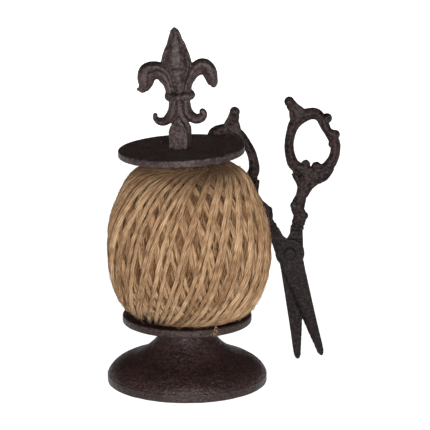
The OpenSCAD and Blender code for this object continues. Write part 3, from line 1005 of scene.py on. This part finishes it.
@dataclass
class TwineBall:
    """Ball of soft jute twine, wound slantwise round an open middle."""

    radius: float = 58.0
    middle: float = 96.0
    rise: float = 66.0
    drop: float = 56.0
    floor: float = 46.9
    upper_power: float = 2.15
    lower_power: float = 2.4
    flat_power: int = 12
    strand: float = 3.7
    hole: float = 12.27
    reach: float = 78.0
    tilt: float = 73.0
    end_turn: float = 23.0
    shift_levels: tuple[float, ...] = (105.0, 125.0, 143.0, 156.0)
    shifts: tuple[float, ...] = (1.4, 0.85, 0.85, 1.6)
    twist: float = 42.0
    pairs: float = 1.55
    over_loops: int = 54
    over_depths: Pair = (1.75, 4.9)
    under_loops: int = 47
    under_skip: int = 14
    under_depths: Pair = (5.5, 6.7)
    fold_depth: float = 1.9
    heart_depth: float = 6.8
    hair_count: int = 5200
    fray_count: int = 16
    seed: int = 19
    # Painted shade: the core and the deep strands take darker copies of the jute, standing in for the shade
    # between the outer strands.
    shaded_heart_jute: Jute = Jute(
        "jute_heart_shaded", 0.0, (0.065, 0.028, 0.011), (0.13, 0.06, 0.025), (0.23, 0.128, 0.06))
    shaded_under_jute: Jute = Jute(
        "jute_under_shaded", 17.0, (0.12, 0.053, 0.021), (0.24, 0.127, 0.058), (0.43, 0.265, 0.141))
    over_jute: Jute = Jute("jute_over", 7.9)
    end_jute: Jute = Jute("jute_end", 0.03, (0.14, 0.07, 0.034), (0.3, 0.175, 0.092), (0.5, 0.335, 0.2))
    hair_jute: Jute = Jute(
        "jute_hair", 0.004, (0.38, 0.225, 0.115), (0.58, 0.39, 0.225), (0.76, 0.57, 0.37))
    shoulders: Rows = (
        (-66, 0.0), (-54, 1.5), (-44, 1.7), (-30, 0.6), (-18, 0.0), (24, 0.0), (34, 0.5), (42, 2.2),
        (50, 3.4), (58, 3.3), (68, 1.6), (77, 0.0))
    end_rows: Rows = (
        (52.4, 27.0, 70.0), (49.6, 26.0, 62.0), (47.9, 25.0, 56.2), (47.2, 23.8, 52.2), (47.6, 22.6, 48.9),
        (47.9, 22.0, 46.6))

    def round(self, level: float) -> np.ndarray:
        """Finds a point of the plain round, flattened where it sits in the dish.

        Args:
            level: Level from -90 to 90 degrees.

        Returns:
            The radius and the height.
        """
        s, c = abs(math.sin(math.radians(level))), math.cos(math.radians(level))
        if level >= 0:
            n = 2 / self.upper_power
            return np.array((self.radius * c**n, self.middle + self.rise * s**n))
        n = 2 / self.lower_power
        k = self.flat_power
        deep = self.drop * s**n
        flat = self.middle - self.floor
        most = self.drop * math.sin(math.radians(self.reach)) ** n
        limit = flat / (1 - (flat / most) ** k) ** (1 / k)
        sunk = deep if deep < 5 else (deep**-k + limit**-k) ** (-1 / k)
        return np.array((self.radius * c**n, self.middle - sunk))

    def skin(self, level: float) -> np.ndarray:
        """Finds a point of the ball's skin, which is fuller than a round at its shoulders.

        Args:
            level: Level from -90 to 90 degrees.

        Returns:
            The radius and the height.
        """
        along = self.round(min(level + 1, 89)) - self.round(max(level - 1, -89))
        along /= np.linalg.norm(along)
        full = float(np.interp(level, *zip(*self.shoulders)))
        return self.round(level) + full * np.array((along[1], -along[0]))

    def under(self, level: float, depth: float) -> np.ndarray:
        """Finds a point below the skin.

        Args:
            level: Level from -90 to 90 degrees.
            depth: How far inwards it lies.

        Returns:
            The radius and the height.
        """
        along = self.skin(min(level + 1, 89)) - self.skin(max(level - 1, -89))
        along /= np.linalg.norm(along)
        return self.skin(level) - depth * np.array((along[1], -along[0]))

    def turned(self, points: np.ndarray) -> np.ndarray:
        """Turns rows of radius, azimuth and height into points in space, with the ball a little off its hole.

        Args:
            points: The rows, with the azimuth in degrees.

        Returns:
            The points.
        """
        angle = np.radians(points[:, 1])
        part = np.clip((points[:, 0] - 16.0) / 20.0, 0.0, 1.0)
        shift = part * np.interp(points[:, 2], self.shift_levels, self.shifts)
        x = points[:, 0] * np.sin(angle) + shift
        return np.column_stack([x, -points[:, 0] * np.cos(angle), points[:, 2]])

    def outer(self, rng: Random) -> np.ndarray:
        """Winds slanting loops that pass beside the open middle, rising over the strands that fall.

        Args:
            rng: Source of the unevenness.

        Returns:
            Points along the thread.
        """
        loops = self.over_loops
        high, low = self.over_depths
        phase = np.linspace(-90.0, 360.0 * loops - 90.0, 48 * loops + 1)
        marks = np.arange(-180.0, 360.0 * loops + 180.0, 90.0)
        turns = np.arange(-360.0, 360.0 * loops + 360.0, 180.0)
        tilt = np.radians(self.tilt + np.interp(phase, turns, rng.uniform(-2.5, 2.5, len(turns))))
        shift = np.interp(phase, marks, rng.uniform(-0.6, 0.6, len(marks)))
        shift += np.interp(phase, turns, rng.uniform(-1.0, 1.0, len(turns)))
        shift += np.interp(phase, turns, self.pairs * np.resize((1.0, 1.0, -1.0, -1.0), len(turns)))
        loose = np.interp(phase, marks, rng.uniform(-0.35, 0.35, len(marks)))
        swing = np.radians(phase)
        levels = np.degrees(np.arcsin(np.sin(tilt) * np.sin(swing)))
        around = np.degrees(np.unwrap(np.arctan2(np.cos(tilt) * np.sin(swing), np.cos(swing))))
        around = around + phase / loops + shift + (self.end_turn + 2.0)
        side = np.clip(np.cos(swing) * 2.2, -1.0, 1.0)
        depth = (high + low) / 2 - (low - high) / 2 * side + loose
        rows = [(*self.under(p, d), a) for p, d, a in zip(levels, depth, around)]
        return self.turned(smooth_rows([(r, a, z) for r, z, a in rows], 3))

    def inner(self, rng: Random) -> np.ndarray:
        """Winds steep loops that fold over at the open middle, deep but for their ends.

        Args:
            rng: Source of the unevenness.

        Returns:
            Points along the thread.
        """
        loops, depths = self.under_loops, self.under_depths
        sink = depths[0] - self.fold_depth
        turn = 180.0 * self.under_skip / loops
        start = self.end_turn + 6.0
        folds = [k * turn + rng.uniform(-1.7, 1.7) for k in range(2 * loops + 1)]
        points = []
        for k in range(2 * loops):
            up = 1 if k % 2 == 0 else -1
            depth, other = depths if up > 0 else depths[::-1]
            depth += rng.uniform(-0.3, 0.3)
            for t in np.linspace(0.0, 1.0, 25):
                level = self.reach * (2 * t - 1) * up
                lift = min(max((abs(level) - 58.0) / 10.0, 0.0), 1.0)
                r, z = self.under(level, depth - lift * sink)
                points.append((max(r, self.hole + 0.6), start + folds[k] + (folds[k + 1] - folds[k]) * t, z))
            ends = [self.under(self.reach * up, d - depths[0] + self.fold_depth)[1] for d in (depth, other)]
            for s in (0.25, 0.75):
                points.append((self.hole - 0.9, start + folds[k + 1], ends[0] + (ends[1] - ends[0]) * s))
        return self.turned(smooth_rows(points, 6))

    def plies(self, line: np.ndarray, count: int, step: float, spread: float, twist: float) -> Lines:
        """Twists plies round a line.

        Args:
            line: Points along the twine.
            count: How many plies there are.
            step: Distance between the points of a ply.
            spread: Distance of a ply from the middle of the twine.
            twist: Length of one turn.

        Returns:
            Points of each ply.
        """
        run = np.concatenate([[0.0], np.cumsum(np.linalg.norm(np.diff(line, axis=0), axis=1))])
        marks = np.linspace(0.0, run[-1], int(run[-1] / step) + 1)
        path = np.column_stack([np.interp(marks, run, line[:, k]) for k in range(3)])
        ahead = np.gradient(path, axis=0)
        ahead /= np.linalg.norm(ahead, axis=1)[:, None]
        out = path - np.array((0.0, 0.0, self.middle))
        out -= (out * ahead).sum(axis=1)[:, None] * ahead
        out /= np.linalg.norm(out, axis=1)[:, None]
        beside = np.cross(ahead, out)
        turn = math.tau * marks / twist + 0.5 * np.sin(marks / 37.0)
        lays = [turn + math.tau * k / count for k in range(count)]
        return [path + spread * (np.cos(lay)[:, None] * out + np.sin(lay)[:, None] * beside) for lay in lays]

    def uneven(self, lines: Lines, rng: Random) -> Lines:
        """Makes slowly changing thicknesses.

        Args:
            lines: Points of each strand.
            rng: Source of the unevenness.

        Returns:
            The thickness at each point of each strand.
        """
        widths = []
        for line in lines:
            marks = np.arange(0, len(line) + 8, 8)
            widths.append(np.interp(np.arange(len(line)), marks, rng.uniform(0.82, 1.18, len(marks))))
        return widths

    def hairs(self, line: np.ndarray, rng: Random) -> Lines:
        """Makes short loose fibres that stand off the strands.

        Args:
            line: Points along the twine.
            rng: Source of their places and lengths.

        Returns:
            Points of each fibre.
        """
        fibres = []
        centre = np.array((0.0, 0.0, self.middle))
        for i in rng.integers(20, len(line) - 20, self.hair_count):
            ahead = line[i + 1] - line[i]
            ahead = ahead / np.linalg.norm(ahead)
            out = (line[i] - centre) / np.linalg.norm(line[i] - centre)
            beside = np.cross(ahead, out)
            way = ahead * rng.choice((-1, 1)) * rng.uniform(0.5, 1.0)
            way = way + out * rng.uniform(0.05, 0.5)
            way = way + beside * rng.uniform(-0.7, 0.7)
            bend = out * rng.uniform(-0.7, 0.1) + beside * rng.uniform(-0.6, 0.6)
            size = rng.uniform(2.0, 7.0)
            root = line[i] + out * self.strand * 0.42 + beside * rng.uniform(-1.2, 1.2)
            fibres.append(np.array([root + size * (way * t + bend * t * t * 0.6) for t in FIBRE_STEPS]))
        return fibres

    def tail(self, rng: Random) -> tuple[Lines, Lines]:
        """Makes the loose end over the rim of the dish.

        Args:
            rng: Source of the fraying.

        Returns:
            Its plies, and its frayed fibres.
        """
        path = self.turned(smooth_rows(self.end_rows, 10))
        fibres = []
        for _ in range(self.fray_count):
            drift = rng.normal(0.0, 1.0, 3) * (1.0, 0.4, 0.4)
            size = rng.uniform(1.5, 4.2)
            root = path[-1 - int(rng.integers(0, 18))] + drift * (0.4, 0.3, 0.0)
            fall = [(drift[0] * t * 1.8, -0.4 * t, -size * t * (1 - 0.4 * t)) for t in FIBRE_STEPS]
            fibres.append(root + np.array(fall))
        return self.plies(path, 2, 0.8, 0.5, 9.0), fibres

    def heart(self) -> Solid:
        """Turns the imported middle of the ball, below its strands.

        Returns:
            The uneven middle, with its hole.
        """
        levels = [self.under(p, self.heart_depth) for p in range(-78, 79, 4)]
        hole = self.hole - 0.4
        rows = [(max(r, hole + 0.4), z) for r, z in levels]
        profile = [(hole, levels[0][1])] + rows + [(hole, levels[-1][1])]
        bm = turned_profile(profile, 120)
        roughen(bm, 2.2, 0.7, 9.1)
        return bm

    def build(self) -> None:
        """Builds the heart, the two wound layers, the loose fibres and the loose end."""
        rng = np.random.default_rng(self.seed)
        line = self.outer(rng)
        deep = self.inner(rng)
        jute = self.shaded_heart_jute.material()
        set_piece(self.heart(), "twine_heart", Matrix(), Body.TWINE, jute, ("twine_core",),
                  CAST_CREASE)
        plies = self.plies(deep, 2, 1.45, 0.7, self.twist)
        set_strands("twine_under", plies, self.uneven(plies, rng), 0.9, 0, self.shaded_under_jute.material())
        jute = self.over_jute.material()
        plies = self.plies(line, 3, 1.3, 0.76, self.twist)
        widths = self.uneven(plies, rng)
        third = len(plies[0]) // 3 + 1
        for k, nodes in enumerate((("twine_winding",), (), ())):
            part = slice(k * third, (k + 1) * third + 1)
            name = "twine_over_" + "abc"[k]
            set_strands(name, [p[part] for p in plies], [w[part] for w in widths], 0.96, 1, jute, nodes)
        plies, frayed = self.tail(rng)
        thin = [np.linspace(1.0, 0.45, len(p)) for p in plies]
        set_strands("twine_end", plies, thin, 0.62, 1, self.end_jute.material())
        fibres = self.hairs(line, rng) + frayed
        thin = [np.linspace(1.0, 0.3, len(f)) for f in fibres]
        set_strands("twine_hairs", fibres, thin, 0.1, 0, self.hair_jute.material())


@dataclass
class Scissors:
    """Cast scissors with scrolled finger rings, leaning behind the ball with their blades a little open."""

    pivot: Triple = (73.7, 49.16, 80.373)
    lean: float = 10.8
    gape: float = 13.0
    thick: float = 5.4
    lap_gap: float = 0.3
    lap: float = 10.5
    ring_y: float = 0.45
    web_half: float = 2.0
    lobe_y: float = 0.3
    lobe_half: float = 3.2
    ground: float = 2.8
    ring: Rows = (
        (21.2, 100.9, 4.1), (14.7, 98.9, 4.6), (9.7, 94.2, 4), (6.6, 87.1, 3.3), (4.9, 79.2, 3.2),
        (5.2, 71.8, 3.4), (7.2, 65.1, 3.9), (11.8, 61.1, 3.9), (17, 58.5, 4.3), (24.1, 57.6, 4.3),
        (30.7, 60.7, 4.1), (35.6, 66.6, 3.6), (37.7, 73.4, 3.4), (37.3, 79.7, 3.6), (33.5, 86.6, 2.9),
        (31.3, 91.5, 3.3), (28.7, 97.5, 3.4), (25.5, 100.4, 4))
    bands: Sequence[Rows] = (
        ((16.4, 65.2, 2.2), (15.2, 62.5, 2.5), (11.4, 61.9, 2.9), (7.5, 65.3, 3.1), (5.3, 71.8, 2.8),
         (5, 79.2, 2.6), (6.5, 87.2, 2.7), (9.4, 94.4, 3.2), (14.4, 99.3, 3.6), (21.2, 101.3, 3.2),
         (25.6, 100.6, 3.1), (28.7, 97.8, 3)),
        ((24.9, 63.7, 1.7), (22.5, 63.4, 2), (22, 61, 2.3), (25.2, 59.4, 2.8), (30.4, 61.4, 3.2),
         (35.3, 66.8, 3), (37.5, 73.4, 2.8), (37, 79, 2.9), (35.2, 80.8, 2.4)),
        ((33.8, 97.4, 2.7), (31.8, 95.4, 2.8), (31, 92.1, 2.7), (33.1, 88, 2.6), (36, 85.5, 2.8),
         (38.3, 84.6, 2.7)))
    shank: Rows = (
        (12.2, 47, 3.7), (10.9, 41.2, 4.1), (9.1, 36.9, 4.8), (8.1, 34, 5), (7.5, 31.5, 4.4),
        (8.9, 28.8, 4.7), (9, 25.8, 4.9), (8, 22.9, 4.8), (7.1, 20, 4.6), (6.4, 16.4, 4.5))
    right_leaf: Rows = (
        (33.6, 60.9, 3.2), (28.2, 55, 3.9), (22.3, 52.2, 3.6), (17, 47.8, 3.2), (13, 41.8, 3))
    left_leaf: Rows = (
        (6.6, 58.5, 1.8), (8.5, 55.1, 2.3), (10.7, 50.5, 2.5), (11.8, 44.9, 2.9))
    blade: Rows = (
        (-8, -6), (-7, -16), (-5.7, -32), (-4.4, -48), (-3.5, -60), (-2.9, -70), (-2.3, -76.6),
        (-1.3, -79.4), (0.2, -80.5), (1.8, -79.8), (2.9, -77.4), (3.6, -70.6), (4.8, -60.5), (5.8, -50.5),
        (7.4, -36), (9, -20), (9.8, -8))
    heel: Rows = (
        (2, 20), (10.6, 20), (10, 4), (8, -7), (-8, -6), (-7, 4), (-2, 9.5), (1, 14))
    knob_stem: Rows = (
        (7.6, 110.4, 3.5, 2.9), (10.4, 104.3, 3.6, 2.7), (13, 100.1, 3.6, 2.6))
    knob_web: Rows = (
        (4.9, 106.9), (6.5, 103.9), (6.5, 99.5), (7.3, 95.1), (16.9, 99.5), (17.3, 105.0), (13.2, 108.6),
        (10.6, 112.0))
    leaf_web: Rows = (
        (11.4, 61.1), (19.4, 61.5), (27.0, 58.5), (22.3, 52.2), (15.4, 46.1), (10.7, 50.8))
    beads: Beads = (
        ((7.3, 0.0, 110.8), (3.7, 3.4, 3.9)), ((4.8, 0.0, 34.8), (2.3, 2.7, 2.6)),
        ((12.3, 0.0, 26.7), (2.9, 2.9, 3.0)), ((35.1, 0.0, 77.8), (2.3, 2.6, 2.6)),
        ((25.0, 0.0, 50.8), (1.7, 2.0, 1.5)))
    lobes: Rows = (
        (15.8, 64.4, 3.3), (23.9, 62.1, 3.2), (33.3, 96.8, 3.7), (38.1, 84.4, 3.6))
    veins: Sequence[Rows] = (
        ((6, 60, 0.8, 3), (10.5, 58.6, 0.8, 3.1), (13.1, 54.3, 0.8, 3.2), (13.8, 48.4, 0.6, 3)),
        ((7.2, 57.4, 0.7, 2.9), (10.3, 54.9, 0.7, 3), (11.8, 50.8, 0.7, 3.1), (11.9, 44, 0.6, 3)),
        ((27, 54.4, 0.8, 2.9), (20.2, 52.3, 0.8, 3.1), (16.3, 48.2, 0.8, 3.2), (14, 41, 0.6, 3)),
        ((8.6, 38, 0.8, 3), (7.8, 33.5, 0.9, 3.3), (9.4, 29, 0.9, 3.3), (11.6, 25, 0.8, 3)))

    def handle(self, bm: Solid) -> None:
        """Adds the finger ring under its raised bands, and the banded shank.

        Args:
            bm: The mesh that they go into.
        """
        deep = self.thick / 2
        ring = [(x, z, 1.08 * wide, deep * 0.7, self.ring_y) for x, z, wide in self.ring]
        sweep(bm, flat_places(smooth_rows(ring, 5, True), True), sides=20, closed=True)
        for rows in self.bands:
            draw(bm, smooth_rows([(*row, deep * 1.22, self.ring_y) for row in rows], 6), 18)
        shank = smooth_rows([(*row, deep) for row in self.shank], 10)
        for row in shank:
            if 13.0 < row[1] < 23.7:
                band = math.cos(math.tau * (row[1] - 21.9) / 3.55)
                row[2] *= 1.0 + 0.055 * band
                row[3] *= 1.02 + 0.24 * band
        draw(bm, shank, 20, 2.5)
        for rows in (self.right_leaf, self.left_leaf):
            draw(bm, smooth_rows([(*row, deep * 0.9) for row in rows], 6), 16, 2.3)

    def ornament(self, bm: Solid) -> None:
        """Adds the knob, the webs, the lumps and the veins of the handle.

        Args:
            bm: The mesh that they go into.
        """
        prism(bm, self.knob_web, -self.web_half, self.web_half)
        draw(bm, smooth_rows(self.knob_stem, 5), 16)
        prism(bm, self.leaf_web, -self.web_half, self.web_half)
        for centre, radii in self.beads:
            bead(bm, centre, radii)
        for x, z, size in self.lobes:
            bead(bm, (x, self.lobe_y, z), (size, self.lobe_half, size))
        for rows in self.veins:
            draw(bm, smooth_rows(rows, 6), 10)

    def plate(self, bm: Solid, side: Lap) -> None:
        """Adds the lapped joint and the blade with its ground edge.

        Args:
            bm: The mesh that they go into.
            side: The side that the half laps on.
        """
        near, far = side.value * self.lap_gap, side.value * self.thick / 2
        angles = np.linspace(0, math.tau, 49)[:-1]
        round_lap = [(self.lap * math.cos(t), self.lap * math.sin(t)) for t in angles]
        prism(bm, round_lap, near, far)
        prism(bm, self.heel, near, far)
        outer = prism(bm, self.blade, near, far + side.value * 0.1)
        for (x, z), v in zip(self.blade, outer):
            if x > 0.5 and z < -15:
                v.co.x -= self.ground * min(1.0, (x + 0.5) / 6.0)

    def build_half(self, side: Lap, name: str, node: str, body: Body, iron: Material) -> None:
        """Builds one half: its handle and the blade across the pivot from it.

        Args:
            side: The side that it laps on.
            name: Name of the piece.
            node: The solid that it stands for.
            body: The body that it rides on.
            iron: Its finish.
        """
        bm = bmesh.new()
        self.handle(bm)
        self.ornament(bm)
        self.plate(bm, side)
        casting = fuse(bm, 0.4, 2)
        roughen(casting, 2.2, 0.1, 4.0 + side.value)
        stand = Matrix.Translation(self.pivot) @ Matrix.Rotation(-math.radians(self.lean), 4, "Y")
        place = stand @ Matrix.Rotation(side.value * math.radians(self.gape / 2), 4, "Y")
        if side is Lap.FRONT:
            place = place @ Matrix.Diagonal((-1.0, 1.0, 1.0, 1.0))
        set_piece(casting, name, place, body, iron, (node,), CAST_CREASE)

    def build(self, iron: Material) -> None:
        """Builds both halves, in the given finish."""
        self.build_half(Lap.FRONT, "scissor_left_ring", "scissor_front_half", Body.SCISSORS, iron)
        self.build_half(Lap.BACK, "scissor_right_ring", "scissor_back_half", Body.SCISSOR_ARM, iron)


@dataclass(frozen=True)
class Lamp:
    """A soft oblong lamp."""

    name: str
    spot: Triple
    aim: float
    size: Pair
    power: float
    mirrored: bool = True

    def build(self) -> None:
        """Hangs the lamp, aimed at a height on the axis, and keeps it out of reflections if need be."""
        data = bpy.data.lights.new(self.name, "AREA")
        data.shape = "RECTANGLE"
        data.size, data.size_y = self.size
        data.energy = self.power
        lamp = bpy.data.objects.new(self.name, data)
        lamp.location = self.spot
        lamp.visible_glossy = self.mirrored
        way = Vector((0.0, 0.0, self.aim)) - Vector(self.spot)
        lamp.rotation_euler = way.to_track_quat("-Z", "Y").to_euler()
        bpy.context.scene.collection.objects.link(lamp)


@dataclass(frozen=True)
class Studio:
    """Pale floor, soft lamps and the camera."""

    camera_spot: Triple = (0.0197, -1.847, 0.572)
    camera_pitch: float = 76.26
    lens: float = 227.22
    sensor: float = 36.0
    far: float = 100.0
    floor_size: float = 40.0
    floor_grey: float = 0.45
    floor_glow: float = 0.95
    ambient: float = 0.045
    warmth: Colour = (1.0, 0.8, 0.76)
    lamps: tuple[Lamp, ...] = (
        Lamp("front_lamp", (0.1, -1.95, 0.5), 0.12, (0.9, 0.45), 50.0),
        Lamp("left_lamp", (-1.5, -1.1, 0.3), 0.12, (0.8, 0.5), 0.2),
        Lamp("right_lamp", (1.5, -1.0, 0.3), 0.12, (0.8, 0.5), 0.3),
        Lamp("back_lamp", (-0.1, 1.95, 0.3), 0.12, (0.9, 0.45), 32.0, False),
        Lamp("left_rim", (-1.4, 1.2, 0.4), 0.1, (0.5, 0.6), 8.0, False),
        Lamp("right_rim", (1.4, 1.2, 0.4), 0.1, (0.5, 0.6), 8.0, False))

    def seen(self, g: Graph) -> Socket:
        """Tells what is looked at from what only gives light.

        Args:
            g: The material's node tree.

        Returns:
            1 for what the camera, a mirror or glass sees, and 0 for other light.
        """
        path = g.node("LightPath").outputs
        most = g.math("MAXIMUM", path["Is Camera Ray"], path["Is Glossy Ray"])
        return g.math("MAXIMUM", most, path["Is Transmission Ray"])

    def floor(self) -> None:
        """Lays the floor, white to the camera and still shaded under the object."""
        bm = bmesh.new()
        bmesh.ops.create_grid(bm, x_segments=1, y_segments=1, size=self.floor_size / 2)
        mesh = bpy.data.meshes.new("floor")
        bm.to_mesh(mesh)
        bm.free()
        g = Graph("pale_floor")
        grey = (self.floor_grey, self.floor_grey, self.floor_grey, 1.0)
        mesh.materials.append(g.dressed({"Base Color": grey, "Roughness": 0.9, "Specular IOR Level": 0.0}))
        glow = g.node("Emission", {"Strength": g.math("MULTIPLY", self.seen(g), self.floor_glow)})
        both = g.node("AddShader", {0: g.surface.outputs[0], 1: glow.outputs[0]})
        g.fill(g.output, {"Surface": both.outputs[0]})
        plane = bpy.data.objects.new("floor", mesh)
        bpy.context.scene.collection.objects.link(plane)

    def sky(self) -> None:
        """Makes the surroundings dim and a little warm, and white where the camera sees past the floor."""
        world = bpy.data.worlds.new("studio")
        bpy.context.scene.world = world
        world.use_nodes = True
        tree = world.node_tree
        back = tree.nodes["Background"]
        back.inputs["Color"].default_value = (*self.warmth, 1.0)
        back.inputs["Strength"].default_value = self.ambient
        path = tree.nodes.new("ShaderNodeLightPath")
        white = tree.nodes.new("ShaderNodeBackground")
        white.inputs["Color"].default_value = (1.0, 1.0, 1.0, 1.0)
        both = tree.nodes.new("ShaderNodeMixShader")
        for k, output in enumerate((path.outputs["Is Camera Ray"], back.outputs[0], white.outputs[0])):
            tree.links.new(output, both.inputs[k])
        tree.links.new(both.outputs[0], tree.nodes["World Output"].inputs["Surface"])

    def camera(self) -> None:
        """Sets the camera at the photographed angle."""
        data = bpy.data.cameras.new("camera")
        data.lens = self.lens
        data.sensor_width = self.sensor
        data.clip_end = self.far
        camera = bpy.data.objects.new("camera", data)
        camera.location = self.camera_spot
        camera.rotation_euler = (math.radians(self.camera_pitch), 0.0, 0.0)
        bpy.context.scene.collection.objects.link(camera)
        bpy.context.scene.camera = camera

    def build(self) -> None:
        """Sets up the camera, the floor and the light."""
        bpy.context.scene.view_settings.view_transform = "Standard"
        self.camera()
        self.floor()
        self.sky()
        for lamp in self.lamps:
            lamp.build()


def main() -> None:
    """Builds the studio and each sub-assembly in turn."""
    logging.basicConfig(level=logging.INFO, format="%(message)s")
    Studio().build()
    smooth = CastIron("brown_iron", (0.0135, 0.006, 0.0053), (0.036, 0.0168, 0.0152), (0.1, 0.073, 0.068),
                      grain=0.0009, speck_and_glint=0.3, gloss=0.36, shine=0.32).material()
    rough = CastIron("brown_iron_rough", (0.014, 0.0075, 0.0067), (0.058, 0.0365, 0.034), (0.16, 0.13, 0.124),
                     grain=0.0006, speck_and_glint=0.4).material()
    blades = CastIron("black_iron", (0.0055, 0.0034, 0.0031), (0.0165, 0.0108, 0.0099), (0.11, 0.09, 0.085),
                      grain=0.0004, speck_and_glint=0.3, gloss=0.36, shine=0.1, painted_sheen_height=0.115).material()
    steel = Steel("zinc_steel").material()
    black = Steel("black_steel", (0.009, 0.0065, 0.006), (0.024, 0.017, 0.016), 0.0, 0.12).material()
    spindle = Spindle()
    spindle.dress(steel, black)
    Foot().build(smooth)
    TopPlate().build(spindle, rough)
    Finial().build(spindle, rough, steel)
    TwineBall().build()
    Scissors().build(blades)


if __name__ == "__main__":
    main()
